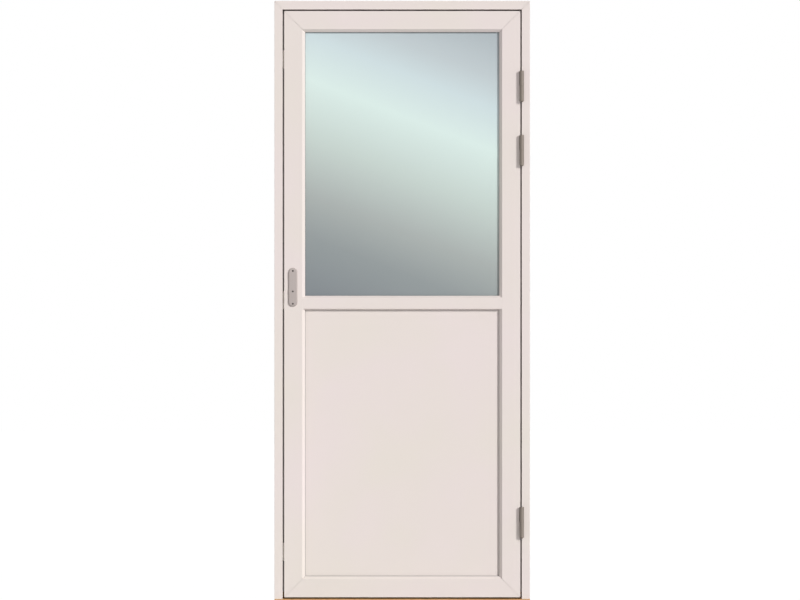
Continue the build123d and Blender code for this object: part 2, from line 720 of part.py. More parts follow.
def all_nodes():
    """Every piece of the door by name."""
    nodes = {}
    jambs, head = frame_timbers()
    strike_pieces, strike_pockets = strikes()
    nodes["threshold"] = threshold_shape()
    nodes["threshold_rail"] = threshold_rail()
    nodes["jamb_left"] = jambs["left"] - fixing_holes("left") - strike_pockets
    flags = [frame_flag(top) for top in HINGE_TOPS_Z]
    nodes["jamb_right"] = jambs["right"] - fixing_holes("right") - flags
    nodes["head"] = head
    frame_clad = frame_cladding()
    nodes["frame_cladding_left"] = frame_clad["left"]
    nodes["frame_cladding_right"] = frame_clad["right"] - flag_notches(True)
    nodes["frame_cladding_head"] = frame_clad["top"]
    nodes["frame_seal"] = frame_seal()
    for place, piece in zip(("lower", "middle", "upper"), strike_pieces):
        nodes["strike_" + place] = piece

    stiles, rails = leaf_timbers()
    plate = lock_plate()
    bolt_heights = STRIKE_Z
    bolt_slots = [bolt_block(z, SLIP) for z in bolt_heights]
    nodes["stile_lock"] = stiles["left"] - plate - bolt_slots
    nodes["stile_hinge"] = stiles["right"]
    nodes["rail_top"] = rails["top"]
    nodes["rail_middle"] = rails["mid"]
    nodes["rail_bottom"] = rails["bottom"]
    leaf_clad = leaf_cladding()
    nodes["leaf_cladding_left"] = leaf_clad["left"]
    nodes["leaf_cladding_right"] = leaf_clad["right"] - flag_notches(False)
    nodes["leaf_cladding_top"] = leaf_clad["top"]
    nodes["leaf_cladding_bottom"] = leaf_clad["bottom"]
    nodes["crossbar_cladding"] = crossbar_cladding()

    panes, spacers = glass_unit()
    nodes.update(panes)
    nodes["glass_spacers"] = spacers
    nodes.update(panel_layers())
    gasket_front = GLAZING_FRONT - GASKET_DEPTH
    nodes["glazing_gaskets"] = glazing_rings(GASKET_SHOW, GASKET_WIDTH, gasket_front, GLAZING_FRONT)
    nodes["glazing_tapes"] = glazing_rings(0, TAPE_WIDTH, LIP_FRONT - TAPE_DEPTH, LIP_FRONT)

    nodes["lock_cover_plate"] = cover_plate()
    nodes["handle_plate"] = handle_plate()
    nodes["handle_lever"] = handle_lever()
    nodes["lock_faceplate"] = plate - bolt_slots
    nodes["lock_bolts"] = Compound(children=[bolt_block(z, 0) for z in bolt_heights])
    for place, top in zip(("lower", "middle", "upper"), HINGE_TOPS_Z):
        nodes["hinge_" + place + "_frame_half"] = hinge_lower(top)
        nodes["hinge_" + place + "_leaf_half"] = hinge_upper(top)
    return nodes


os.makedirs("parts", exist_ok=True)
for name, shape in all_nodes().items():
    export_step(shape, f"parts/{name}.step")
    print(name, len(shape.solids()), round(shape.volume))
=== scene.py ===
# %% [markdown]
# # A half-glazed patio door, dressed for its picture
#
# The door is a white powder-coated aluminium shell over a painted pine leaf and frame, standing on
# an oiled oak threshold. Its shapes come ready made as solids, in metres: +X is to the right seen
# from outside, outside faces -Y, and +Z is up. What is left for this lesson is how each surface
# looks, the small fasteners and trim, the light, and the picture itself.

# %% Load the solids
import json
import math

import bpy
from mathutils import Matrix, Vector

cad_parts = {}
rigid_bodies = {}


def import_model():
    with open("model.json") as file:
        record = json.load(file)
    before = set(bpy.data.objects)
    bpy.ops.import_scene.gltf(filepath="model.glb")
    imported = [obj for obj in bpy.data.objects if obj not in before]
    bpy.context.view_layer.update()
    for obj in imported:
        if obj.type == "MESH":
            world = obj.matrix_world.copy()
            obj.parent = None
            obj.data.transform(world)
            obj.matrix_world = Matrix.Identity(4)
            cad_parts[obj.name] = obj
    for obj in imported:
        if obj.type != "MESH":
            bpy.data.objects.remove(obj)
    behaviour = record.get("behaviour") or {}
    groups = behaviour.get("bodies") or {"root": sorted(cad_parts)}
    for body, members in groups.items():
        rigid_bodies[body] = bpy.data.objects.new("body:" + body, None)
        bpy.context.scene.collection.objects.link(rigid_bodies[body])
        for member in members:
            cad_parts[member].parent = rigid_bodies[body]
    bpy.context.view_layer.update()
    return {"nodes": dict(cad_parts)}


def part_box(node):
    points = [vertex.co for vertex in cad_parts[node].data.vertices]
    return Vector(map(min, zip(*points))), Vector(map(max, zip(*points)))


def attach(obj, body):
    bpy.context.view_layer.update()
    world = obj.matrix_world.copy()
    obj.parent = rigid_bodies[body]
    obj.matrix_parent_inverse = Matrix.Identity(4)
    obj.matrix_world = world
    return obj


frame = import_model()


# %% [markdown]
# The picture of such a door is taken square on. A parallel camera could do that, but it sees the
# other sides in a way that no eye does. A lens of 200 mm, fifteen metres away, keeps the edges as
# good as parallel and is still a real camera. How far away it stands follows from the width that
# the picture takes in at the door's face.

# %% Camera
PICTURE_WIDTH = 2.754
PICTURE_MIDDLE = (-0.0076, 1.050)
LENS = 200.0
SENSOR = 36.0
FARTHEST_SEEN = 100.0

door_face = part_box("leaf_cladding_left")[0].y
camera_data = bpy.data.cameras.new("camera")
camera_data.lens = LENS
camera_data.sensor_width = SENSOR
camera_data.clip_end = FARTHEST_SEEN
camera = bpy.data.objects.new("camera", camera_data)
bpy.context.scene.collection.objects.link(camera)
camera_y = door_face - PICTURE_WIDTH * LENS / SENSOR
camera.location = (PICTURE_MIDDLE[0], camera_y, PICTURE_MIDDLE[1])
camera.rotation_euler = (math.pi / 2, 0.0, 0.0)
bpy.context.scene.camera = camera
print("camera stands", round(-camera_y, 2), "m in front of the door")

# %% [markdown]
# Colours are written as the hex values that a paint chart gives, but Blender calculates with linear
# light, so one function turns them round. A material's nodes could be made and linked line by line.
# One small function that adds a node with its options, inputs and colour stops keeps that short.
# Three more begin a material, cover its surface with a colour and a relief as high as the real one,
# and give it to the solids.

# %% Helpers for colours and nodes
def linear(hex_colour):
    """Linear colour, with full alpha, for an sRGB hex value such as #E6DCD7."""
    parts = [int(hex_colour[i : i + 2], 16) / 255 for i in (1, 3, 5)]
    parts = [c / 12.92 if c <= 0.04045 else ((c + 0.055) / 1.055) ** 2.4 for c in parts]
    return (*parts, 1.0)


def add_node(tree, kind, inputs=None, stops=(), **options):
    """One node: options set, inputs set or linked, and a ramp's stops placed and coloured."""
    node = tree.nodes.new(kind)
    for name, value in options.items():
        setattr(node, name, value)
    for key, value in (inputs or {}).items():
        if isinstance(value, bpy.types.NodeSocket):
            tree.links.new(value, node.inputs[key])
        else:
            node.inputs[key].default_value = value
    while stops and len(node.color_ramp.elements) < len(stops):
        node.color_ramp.elements.new(0.5)
    for number, (place, hex_colour) in enumerate(stops):
        node.color_ramp.elements[number].position = place
        node.color_ramp.elements[number].color = linear(hex_colour)
    return node


def new_material(name, **shader_values):
    """A material with a Principled shader; returns the material, its tree and the shader."""
    material = bpy.data.materials.new(name)
    material.use_nodes = True
    tree = material.node_tree
    tree.nodes.clear()
    inputs = {key.replace("_", " "): value for key, value in shader_values.items()}
    shader = add_node(tree, "ShaderNodeBsdfPrincipled", inputs)
    add_node(tree, "ShaderNodeOutputMaterial", {"Surface": shader.outputs[0]})
    return material, tree, shader


def cover(tree, shader, colour, height, strength, relief):
    """Links a colour to the shader, and a height that stands up by a relief in metres."""
    tree.links.new(colour, shader.inputs["Base Color"])
    inputs = {"Height": height, "Strength": strength, "Distance": relief}
    bump = add_node(tree, "ShaderNodeBump", inputs)
    tree.links.new(bump.outputs["Normal"], shader.inputs["Normal"])


def dress(material, *nodes):
    """Gives one material to solids of the frame, through their material slots."""
    for name in nodes:
        slots = frame["nodes"][name].data.materials
        slots.clear()
        slots.append(material)
    print(material.name, "on", ", ".join(nodes))


print("middle grey #808080 is", round(linear("#808080")[0], 3), "in linear light")

# %% [markdown]
# Powder coat is sprayed on dry and baked, so it flows into a satin skin with a very fine orange
# peel. A single flat colour would look like paper. The peel is about half a millimetre across and a
# few microns high: it never shows as dots at this distance, but it breaks up reflections. A second,
# slow noise stands for the small differences in shade along a real extrusion. Small sizes are in
# millimetres from here on, and MM turns them into metres.

# %% Powder-coated aluminium
MM = 0.001
PEEL_SIZE = 0.6 * MM
PEEL_RELIEF = 0.02 * MM
PEEL_STRENGTH = 0.25
SHADE_SIZE = 350 * MM


def powder_coat(name, light, dark, roughness):
    """Baked powder coat with orange peel and a slow drift between two near shades."""
    material, tree, shader = new_material(name, Roughness=roughness)
    place = add_node(tree, "ShaderNodeTexCoord").outputs["Object"]
    inputs = {"Vector": place, "Scale": 1 / SHADE_SIZE, "Detail": 2.0}
    drift = add_node(tree, "ShaderNodeTexNoise", inputs).outputs["Fac"]
    tone = add_node(tree, "ShaderNodeValToRGB", {"Fac": drift}, ((0.35, dark), (0.65, light)))
    inputs = {"Vector": place, "Scale": 1 / PEEL_SIZE, "Detail": 1.0}
    peel = add_node(tree, "ShaderNodeTexNoise", inputs).outputs["Fac"]
    cover(tree, shader, tone.outputs["Color"], peel, PEEL_STRENGTH, PEEL_RELIEF)
    return material


white_coat = powder_coat("powder_coat_warm_white", "#E7DBD8", "#E5DCD4", 0.38)
dress(white_coat, "frame_cladding_left", "frame_cladding_right", "frame_cladding_head")
dress(white_coat, "leaf_cladding_left", "leaf_cladding_right", "leaf_cladding_top")
dress(white_coat, "leaf_cladding_bottom", "crossbar_cladding", "panel_outer_skin")
plate_coat = powder_coat("powder_coat_plate_grey", "#B7ACA8", "#B0A5A1", 0.42)
dress(plate_coat, "lock_cover_plate")

# %% [markdown]
# Inside, the pine is sprayed with a satin white paint. The grain still stands up a little under it,
# in long lines that run with each piece: up the stiles and jambs, across the rails and the head. A
# painted picture of grain would need every piece unwrapped. A noise drawn out along one axis gives
# the same lines straight from the place of each point, so the material is made once for each
# direction.

# %% Painted pine
GRAIN_WIDTH = 3 * MM
GRAIN_STRETCH = 40
GRAIN_RELIEF = 0.2 * MM
GRAIN_STRENGTH = 0.35
PAINT_TONES = ((0.3, "#E2D8D1"), (0.6, "#E9DFD9"))


def fine_lines(tree, place, along, width, stretch, **settings):
    """Lines of a real width, drawn out along the X or the Z axis."""
    scale = [1 / width] * 3
    scale["XYZ".index(along)] /= stretch
    drawn_out = add_node(tree, "ShaderNodeMapping", {"Vector": place, "Scale": scale})
    inputs = {"Vector": drawn_out.outputs["Vector"], "Scale": 1.0, **settings}
    return add_node(tree, "ShaderNodeTexNoise", inputs).outputs["Fac"]


def painted_pine(name, along):
    """Satin paint over pine, with the grain just showing along one axis."""
    material, tree, shader = new_material(name, Roughness=0.4)
    place = add_node(tree, "ShaderNodeTexCoord").outputs["Object"]
    grain = fine_lines(tree, place, along, GRAIN_WIDTH, GRAIN_STRETCH, Detail=4.0, Roughness=0.6)
    tone = add_node(tree, "ShaderNodeValToRGB", {"Fac": grain}, PAINT_TONES)
    cover(tree, shader, tone.outputs["Color"], grain, GRAIN_STRENGTH, GRAIN_RELIEF)
    return material


pine_upright = painted_pine("painted_pine_upright", "Z")
pine_level = painted_pine("painted_pine_level", "X")
dress(pine_upright, "jamb_left", "jamb_right", "stile_lock", "stile_hinge")
dress(pine_level, "head", "rail_top", "rail_middle", "rail_bottom")

# %% [markdown]
# The threshold is oak, oiled and not painted, because feet would wear paint away. The long faces of
# a sawn board show streaks of darker and lighter growth, and dark pores a few tenths of a
# millimetre wide and some millimetres long. Both could be painted as strokes, but lines drawn out
# along the X axis, as for the pine, never repeat and run over the edges as they do in a real board.

# %% Oak: the board's long faces
STREAK_WIDTH = 5 * MM
STREAK_STRETCH = 45
PORE_WIDTH = 0.6 * MM
PORE_STRETCH = 20
PORE_SHARE = 0.7
OAK_TONES = ((0.25, "#C3915D"), (0.5, "#D5A571"), (0.75, "#E2B887"))
PORE_TONES = ((0.34, "#9A6C40"), (0.45, "#FFFFFF"))

# The colour sockets of a Mix node share their names with its other sockets, so they go by number.
MIX_A, MIX_B, MIX_RESULT = 6, 7, 2


def oak_grain(tree, place):
    """Colour of the long faces, and their pores as a height."""
    streaks = fine_lines(
        tree, place, "X", STREAK_WIDTH, STREAK_STRETCH, Detail=3.0, Distortion=0.4
    )
    growth = add_node(tree, "ShaderNodeValToRGB", {"Fac": streaks}, OAK_TONES)
    pores = fine_lines(tree, place, "X", PORE_WIDTH, PORE_STRETCH, Detail=2.0)
    dark = add_node(tree, "ShaderNodeValToRGB", {"Fac": pores}, PORE_TONES)
    board = add_node(
        tree,
        "ShaderNodeMix",
        {"Factor": PORE_SHARE, MIX_A: growth.outputs["Color"], MIX_B: dark.outputs["Color"]},
        data_type="RGBA",
        blend_type="MULTIPLY",
    )
    return board.outputs[MIX_RESULT], pores


print("oak streaks", STREAK_WIDTH / MM, "mm and pores", PORE_WIDTH / MM, "mm wide")

# %% [markdown]
# The board's sawn ends show the growth rings themselves. The middle of the tree lies under the back
# half of the board, so the rings cross the ends in arcs. Thin pieces could be laid on the ends to
# carry them. It is simpler to tell the ends apart by the way they face, which is along the X axis.

# %% Oak: the board's sawn ends
RING_WIDTH = 3.5 * MM
TREE_MIDDLE = (0.0, 0.035, -0.075)
END_TONES = ((0.1, "#B98552"), (0.9, "#A3744A"))
END_FACING = 0.9

# At a scale of 1, Blender's rings lie this far apart.
RING_STEP = math.pi / 10


def oak_rings(tree, place):
    """Colour of the sawn ends."""
    to_middle = {"Vector": place, "Location": [-way for way in TREE_MIDDLE]}
    ring_place = add_node(tree, "ShaderNodeMapping", to_middle)
    rings = add_node(
        tree,
        "ShaderNodeTexWave",
        {
            "Vector": ring_place.outputs["Vector"],
            "Scale": RING_STEP / RING_WIDTH,
            "Distortion": 1.2,
            "Detail": 2.0,
            "Detail Scale": 0.3,
        },
        wave_type="RINGS",
        rings_direction="X",
        wave_profile="SAW",
    )
    tone = add_node(tree, "ShaderNodeValToRGB", {"Fac": rings.outputs["Fac"]}, END_TONES)
    return tone.outputs["Color"]


def on_ends(tree):
    """1 on faces that look along the X axis, and 0 elsewhere."""
    surface = add_node(tree, "ShaderNodeNewGeometry")
    facing = add_node(tree, "ShaderNodeSeparateXYZ", {"Vector": surface.outputs["Normal"]})
    along = add_node(tree, "ShaderNodeMath", {0: facing.outputs["X"]}, operation="ABSOLUTE")
    inputs = {0: along.outputs[0], 1: END_FACING}
    return add_node(tree, "ShaderNodeMath", inputs, operation="GREATER_THAN").outputs[0]


print("oak rings", RING_WIDTH / MM, "mm apart")

# %% [markdown]
# A varnish would need a clear coat over the wood. Oil soaks in and leaves only a low sheen, so the
# pores stay open and are sunk a little. The two looks of the board are then joined in one material.

# %% Oiled oak
PORE_RELIEF = 0.1 * MM
PORE_STRENGTH = 0.5


def oiled_oak():
    """Oiled oak, with grain on the long faces and rings on the ends."""
    material, tree, shader = new_material("oiled_oak", Roughness=0.42)
    place = add_node(tree, "ShaderNodeTexCoord").outputs["Object"]
    board, pores = oak_grain(tree, place)
    colour = add_node(
        tree,
        "ShaderNodeMix",
        {"Factor": on_ends(tree), MIX_A: board, MIX_B: oak_rings(tree, place)},
        data_type="RGBA",
    )
    cover(tree, shader, colour.outputs[MIX_RESULT], pores, PORE_STRENGTH, PORE_RELIEF)
    return material


dress(oiled_oak(), "threshold")

# %% [markdown]
# Bare metal parts are brushed or drawn, which leaves parallel hairlines a few hundredths of a
# millimetre wide. Blender can smear a reflection as such lines do, but they would not be seen
# themselves. They are drawn as lines instead, coarser than they are so that they show, along the
# way each piece was brushed.
#
# The finishes differ. Anodised aluminium is pale and bright, but duller on the rail that feet tread
# on. The plating on the hinges has gone brown and so dull that it hardly mirrors. The strikes are
# bright plated: each sends the daylight that falls into the gap round the leaf straight back, and
# so shows there as a light stretch.

# %% Brushed metals
HAIRLINE = 0.4 * MM
HAIRLINE_STRETCH = 60
HAIRLINE_RELIEF = 0.05 * MM
HAIRLINE_STRENGTH = 0.2
LEVELS = ("lower", "middle", "upper")


def brushed_metal(name, light, dark, roughness, metallic, along):
    """Metal with brushed hairlines along one axis."""
    material, tree, shader = new_material(name, Roughness=roughness, Metallic=metallic)
    place = add_node(tree, "ShaderNodeTexCoord").outputs["Object"]
    lines = fine_lines(tree, place, along, HAIRLINE, HAIRLINE_STRETCH, Detail=2.0)
    tone = add_node(tree, "ShaderNodeValToRGB", {"Fac": lines}, ((0.3, dark), (0.7, light)))
    cover(tree, shader, tone.outputs["Color"], lines, HAIRLINE_STRENGTH, HAIRLINE_RELIEF)
    return material


# Light tone, dark tone, roughness, how metallic it is, and the way it was brushed.
hinge_steel = brushed_metal("zinc_plated_steel", "#8B8178", "#7E746B", 0.5, 0.2, "Z")
lock_steel = brushed_metal("satin_steel", "#B4B0AA", "#9E9A94", 0.35, 0.8, "Z")
strike_zinc = brushed_metal("bright_zinc_plated_strike", "#E7DDD2", "#DBD1C6", 0.15, 0.95, "Z")
lever_finish = brushed_metal("anodised_aluminium_lever", "#C6C5C1", "#B9B8B4", 0.32, 0.9, "X")
plate_finish = brushed_metal("anodised_aluminium_plate", "#C6C5C1", "#B9B8B4", 0.34, 0.9, "Z")
rail_finish = brushed_metal("anodised_aluminium_rail", "#A6A6A3", "#939390", 0.5, 0.8, "X")
for level in LEVELS:
    dress(hinge_steel, f"hinge_{level}_frame_half", f"hinge_{level}_leaf_half")
dress(strike_zinc, "strike_lower", "strike_middle", "strike_upper")
dress(lock_steel, "lock_faceplate", "lock_bolts")
dress(lever_finish, "handle_lever")
dress(plate_finish, "handle_plate")
dress(rail_finish, "threshold_rail")

# %% [markdown]
# Glazing gaskets are extruded EPDM, a matt black rubber whose surface has a fine bloom. The seal in
# the frame's rebate is a softer rubber in a warm grey, so that it doesn't draw a dark line round
# the opening when the leaf stands open. The spacers between the panes are a matt grey plastic.
# Plain colours would nearly do, because little of them shows, but without the bloom they would look
# like ink. The panel's foam core and its painted inner skin are dressed here too.

# %% Rubber, plastic and the panel's layers
BLOOM_SIZE = 1.5 * MM
BLOOM_RELIEF = 0.1 * MM
BLOOM_STRENGTH = 0.2


def matt_polymer(name, light, dark, roughness):
    """Extruded rubber or plastic with a faint cloudy bloom."""
    material, tree, shader = new_material(name, Roughness=roughness)
    place = add_node(tree, "ShaderNodeTexCoord").outputs["Object"]
    inputs = {"Vector": place, "Scale": 1 / BLOOM_SIZE, "Detail": 3.0}
    bloom = add_node(tree, "ShaderNodeTexNoise", inputs).outputs["Fac"]
    tone = add_node(tree, "ShaderNodeValToRGB", {"Fac": bloom}, ((0.35, dark), (0.65, light)))
    cover(tree, shader, tone.outputs["Color"], bloom, BLOOM_STRENGTH, BLOOM_RELIEF)
    return material


epdm = matt_polymer("epdm_rubber", "#2C2A29", "#222020", 0.62)
dress(epdm, "glazing_gaskets", "glazing_tapes")
dress(matt_polymer("grey_rubber_seal", "#8A827B", "#847C75", 0.6), "frame_seal")
dress(matt_polymer("warm_edge_spacer", "#5C5D60", "#525356", 0.55), "glass_spacers")
dress(matt_polymer("rigid_foam", "#DAD8C8", "#CCCAB8", 0.85), "panel_core")
dress(powder_coat("painted_panel_skin", "#E9DFD9", "#E7DDD6", 0.4), "panel_inner_skin")

# %% [markdown]
# The glass is a triple unit, and in daylight its outside shows the sky. That reflection runs
# slantwise: greyer at the top right, palest and a little green in a band below that, and darker
# towards the crossbar. A whole sky could be built for the pane to mirror, but then the tone would
# change with every step that the viewer takes. The reflection is painted into the outer pane's
# colour instead, which lets a little light through. Tones are given by the height along the pane's
# left edge, and their lines fall away to the right.

# %% Outer pane
GLASS_IOR = 1.52
TONE_FALL = 0.39
# Painted reflection of the sky: heights on the pane's left edge and their tones.
PAINTED_SKY_TONES = (
    (1.05, "#7F868C"),
    (1.28, "#959D9E"),
    (1.42, "#ADB4B2"),
    (1.62, "#CCDAD4"),
    (1.82, "#E2F4EF"),
    (1.97, "#D5E5E8"),
    (2.075, "#C7D2D6"),
    (2.22, "#B5BFC4"),
)
TONE_BOTTOM, TONE_TOP = PAINTED_SKY_TONES[0][0], PAINTED_SKY_TONES[-1][0]


def slanting_height(tree, place):
    """Height of the tone line that a point lies on, measured at the pane's left edge."""
    xyz = add_node(tree, "ShaderNodeSeparateXYZ", {"Vector": place})
    left_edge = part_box("glass_outer")[0].x
    inputs = {0: xyz.outputs["X"], 1: TONE_FALL, 2: -left_edge * TONE_FALL}
    fall = add_node(tree, "ShaderNodeMath", inputs, operation="MULTIPLY_ADD")
    inputs = {0: xyz.outputs["Z"], 1: fall.outputs[0]}
    return add_node(tree, "ShaderNodeMath", inputs, operation="ADD").outputs[0]


def glass_with_painted_sky():
    """Float glass with the sky's slanting reflection painted into its colour."""
    material, tree, shader = new_material(
        "float_glass_painted_sky_reflection", Roughness=0.04, IOR=GLASS_IOR, Alpha=0.9
    )
    place = add_node(tree, "ShaderNodeTexCoord").outputs["Object"]
    height = slanting_height(tree, place)
    inputs = {"Value": height, "From Min": TONE_BOTTOM, "From Max": TONE_TOP}
    share = add_node(tree, "ShaderNodeMapRange", inputs).outputs["Result"]
    span = TONE_TOP - TONE_BOTTOM
    stops = [((z - TONE_BOTTOM) / span, tone) for z, tone in PAINTED_SKY_TONES]
    tone = add_node(tree, "ShaderNodeValToRGB", {"Fac": share}, stops)
    tree.links.new(tone.outputs["Color"], shader.inputs["Base Color"])
    return material


# The outer pane gets the painted reflection of the sky.
dress(glass_with_painted_sky(), "glass_outer")

# %% [markdown]
# The two panes behind are clear, and are seen by their shine alone. Real float glass is never quite
# flat: it has slow waves, about a third of a metre long, which bend a reflection a little. Without
# them the panes would mirror like water in a bowl.

# %% Inner panes
WAVES_PER_METRE = 3.0
WAVE_RELIEF = 1 * MM
WAVE_STRENGTH = 0.02


def clear_glass():
    """Clear float glass that only shines."""
    material, tree, shader = new_material(
        "float_glass_clear",
        Base_Color=linear("#EEF5F3"),
        Roughness=0.02,
        IOR=GLASS_IOR,
        Alpha=0.12,
    )
    place = add_node(tree, "ShaderNodeTexCoord").outputs["Object"]
    inputs = {"Vector": place, "Scale": WAVES_PER_METRE, "Detail": 0.0}
    waves = add_node(tree, "ShaderNodeTexNoise", inputs).outputs["Fac"]
    inputs = {"Height": waves, "Strength": WAVE_STRENGTH, "Distance": WAVE_RELIEF}
    bump = add_node(tree, "ShaderNodeBump", inputs)
    tree.links.new(bump.outputs["Normal"], shader.inputs["Normal"])
    return material


dress(clear_glass(), "glass_middle", "glass_inner")

# %% [markdown]
# The small pieces are modelled as by hand. A primitive is only the start: faces are picked by the
# way they look, and then drawn in, pushed or bevelled. An operator acts on all that is selected, so
# each piece begins with nothing selected. Curved sides are smoothed, and edges sharper than an
# angle stay crisp.

# %% Helpers for modelling by hand
FACING = 0.9
SMOOTH_UNDER = math.radians(35)


def deselect_all():
    """Nothing selected, because an operator acts on all that is."""
    if bpy.context.object and bpy.context.object.mode != "OBJECT":
        bpy.ops.object.mode_set(mode="OBJECT")
    bpy.ops.object.select_all(action="DESELECT")


def pick(piece, kind, test):
    """In edit mode, selects the vertices or faces that pass a test."""
    bpy.ops.mesh.select_mode(type=kind)
    bpy.ops.mesh.select_all(action="DESELECT")
    bpy.ops.object.mode_set(mode="OBJECT")
    parts = {"VERT": piece.data.vertices, "FACE": piece.data.polygons}[kind]
    for part in parts:
        part.select = test(part)
    bpy.ops.object.mode_set(mode="EDIT")


def looks_up(face):
    """True for a face that looks up."""
    return face.normal.z > FACING


def looks_down(face):
    """True for a face that looks down."""
    return face.normal.z < -FACING


def upright_disc(name, radius, thickness, sides):
    """A cylinder below the XY plane, opened in edit mode."""
    deselect_all()
    bpy.ops.mesh.primitive_cylinder_add(
        vertices=sides, radius=radius, depth=thickness, location=(0, 0, -thickness / 2)
    )
    piece = bpy.context.object
    piece.name = name
    bpy.ops.object.transform_apply(location=True)
    bpy.ops.object.mode_set(mode="EDIT")
    return piece


def smooth_and_close(piece):
    """Back to object mode, with soft curves and crisp edges."""
    bpy.ops.object.mode_set(mode="OBJECT")
    bpy.ops.object.shade_smooth_by_angle(angle=SMOOTH_UNDER)
    print(piece.name, "has", len(piece.data.polygons), "faces")
    return piece


print("edges under", round(math.degrees(SMOOTH_UNDER)), "degrees are smoothed")

# %% [markdown]
# Screws are small, but a door without them looks like a block model. Each is countersunk, with a
# six-lobed recess. The recess could be cut out with a second solid, which leaves long thin faces.
# By hand it stays clean: the lower end of a short cylinder is drawn in to a cone, its top is raised
# a little, and the recess is inset, pinched into lobes and pushed down. The recess's walls and
# bottom get a dark colour of their own.

# %% Model one screw
SCREW_SIDES = 24
LOBES = 6
LOBE_PINCH = 0.72
CONE_SHARE = 0.55
RIM_SHARE = 0.12
CROWN_SHARE = 0.08
RECESS_DEPTH_SHARE = 0.6

# Each screw's head radius, its depth, and the recess as a share of the radius.
COVER_SCREW = (3.0 * MM, 1.2 * MM, 0.5)
PLATE_SCREW = (3.4 * MM, 1.6 * MM, 0.5)
SET_SCREW = (2.2 * MM, 1.5 * MM, 0.6)
FLAG_SCREW = (3.6 * MM, 1.4 * MM, 0.45)

dark_steel = brushed_metal("blackened_steel", "#4A413E", "#38302E", 0.5, 0.3, "Z")
bright_steel = brushed_metal("zinc_plated_screw", "#B2AEA6", "#99958D", 0.35, 0.85, "Z")
# A dark colour for the walls and bottom of each screw's recess.
dark_recess = matt_polymer("dark_screw_recess", "#3A3633", "#2E2A28", 0.6)


def lobed_corners(screw, recess):
    """The corners of the recess that lie between two lobes, going round it."""
    points = screw.data.vertices
    corners = list(screw.data.polygons[recess].vertices)
    corners.sort(key=lambda i: math.atan2(points[i].co.y, points[i].co.x))
    return [i for order, i in enumerate(corners) if order % (SCREW_SIDES // LOBES) in (0, 1)]


def make_screw(name, head_radius, head_depth, recess_share, head_finish):
    """A screw head on the XY plane: its rim at z = 0, its crown above and its cone below."""
    screw = upright_disc(name, head_radius, head_depth, SCREW_SIDES)
    pick(screw, "FACE", looks_down)
    bpy.ops.transform.resize(value=(CONE_SHARE, CONE_SHARE, 1.0))
    pick(screw, "FACE", looks_up)
    bpy.ops.mesh.inset(thickness=head_radius * RIM_SHARE)
    bpy.ops.transform.translate(value=(0, 0, head_radius * CROWN_SHARE))
    bpy.ops.mesh.inset(thickness=head_radius * (1 - RIM_SHARE - recess_share))
    bpy.ops.object.mode_set(mode="OBJECT")
    recess = [face.index for face in screw.data.polygons if face.select][0]
    pinched = lobed_corners(screw, recess)
    bpy.ops.object.mode_set(mode="EDIT")
    pick(screw, "VERT", lambda point: point.index in pinched)
    bpy.ops.transform.resize(value=(LOBE_PINCH, LOBE_PINCH, 1.0))
    pick(screw, "FACE", lambda face: face.index == recess)
    down = (0, 0, -head_depth * RECESS_DEPTH_SHARE)
    bpy.ops.mesh.extrude_region_move(TRANSFORM_OT_translate={"value": down})
    bpy.ops.mesh.select_more()
    screw.data.materials.append(head_finish)
    screw.data.materials.append(dark_recess)
    screw.active_material_index = 1
    bpy.ops.object.material_slot_assign()
    return smooth_and_close(screw)


cover_screw = make_screw("cover_screw_pattern", *COVER_SCREW, dark_steel)
plate_screw = make_screw("plate_screw_pattern", *PLATE_SCREW, bright_steel)
set_screw = make_screw("set_screw_pattern", *SET_SCREW, dark_steel)
flag_screw = make_screw("flag_screw_pattern", *FLAG_SCREW, bright_steel)

# %% [markdown]
# A pattern is modelled on the XY plane, facing up. Copies could share its mesh and be moved about
# as objects, but here each gets a mesh of its own, turned to face the way its surface does and
# moved to its place. The object itself stays at the origin, unturned, as the solids do.
#
# The cover plate outside is held by screws that sit in sunk places and look dark from the front.
# The handle's back plate inside has one above and one below the lever. A set screw under the neck
# clamps the lever to its spindle. All of them lie on one upright line, the middle of the cover
# plate.

# %% Screws of the plates and the lever
COVER_SCREW_HEIGHTS = (1.037, 1.0795, 1.150)
COVER_SCREW_SUNK = 0.7 * MM
PLATE_SCREW_INSET = 11 * MM
PLATE_SCREW_PROUD = 0.75 * MM
LEVER_HALF_HEIGHT = 8.5 * MM
NECK_SCREW_AT = 12.5 * MM
NECK_SCREW_PROUD = 0.6 * MM


def put(pattern, name, places, direction, body):
    """Copies of a pattern, each with its own mesh, facing a direction at places on a body."""
    turn = Vector((0, 0, 1)).rotation_difference(Vector(direction)).to_matrix().to_4x4()
    for number, place in enumerate(places, 1):
        deselect_all()
        pattern.select_set(True)
        bpy.context.view_layer.objects.active = pattern
        bpy.ops.object.duplicate(linked=False)
        copy = bpy.context.object
        copy.name = f"{name}_{number}"
        copy.data.transform(Matrix.Translation(place) @ turn)
        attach(copy, body)
    print(len(places), name)


cover_low, cover_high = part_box("lock_cover_plate")
handle_x = (cover_low.x + cover_high.x) / 2
cover_places = [(handle_x, cover_low.y + COVER_SCREW_SUNK, z) for z in COVER_SCREW_HEIGHTS]
put(cover_screw, "cover_screw", cover_places, (0, -1, 0), "leaf")

plate_low, plate_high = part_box("handle_plate")
plate_rows = (plate_low.z + PLATE_SCREW_INSET, plate_high.z - PLATE_SCREW_INSET)
plate_places = [(handle_x, plate_high.y + PLATE_SCREW_PROUD, z) for z in plate_rows]
put(plate_screw, "handle_plate_screw", plate_places, (0, 1, 0), "leaf")

lever_low, lever_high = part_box("handle_lever")
under_neck = (lever_low.z + lever_high.z) / 2 - LEVER_HALF_HEIGHT
set_place = (handle_x, plate_high.y + NECK_SCREW_AT, under_neck - NECK_SCREW_PROUD)
put(set_screw, "lever_set_screw", [set_place], (0, 0, -1), "leaf")

# %% [markdown]
# The hinge flags and the strikes are screwed to the edges of the leaf and the frame, and show when
# the door stands open. Their screws could be placed one by one. Given as shares of the height of
# the piece that they hold, they fit all three hinges and all three strikes.

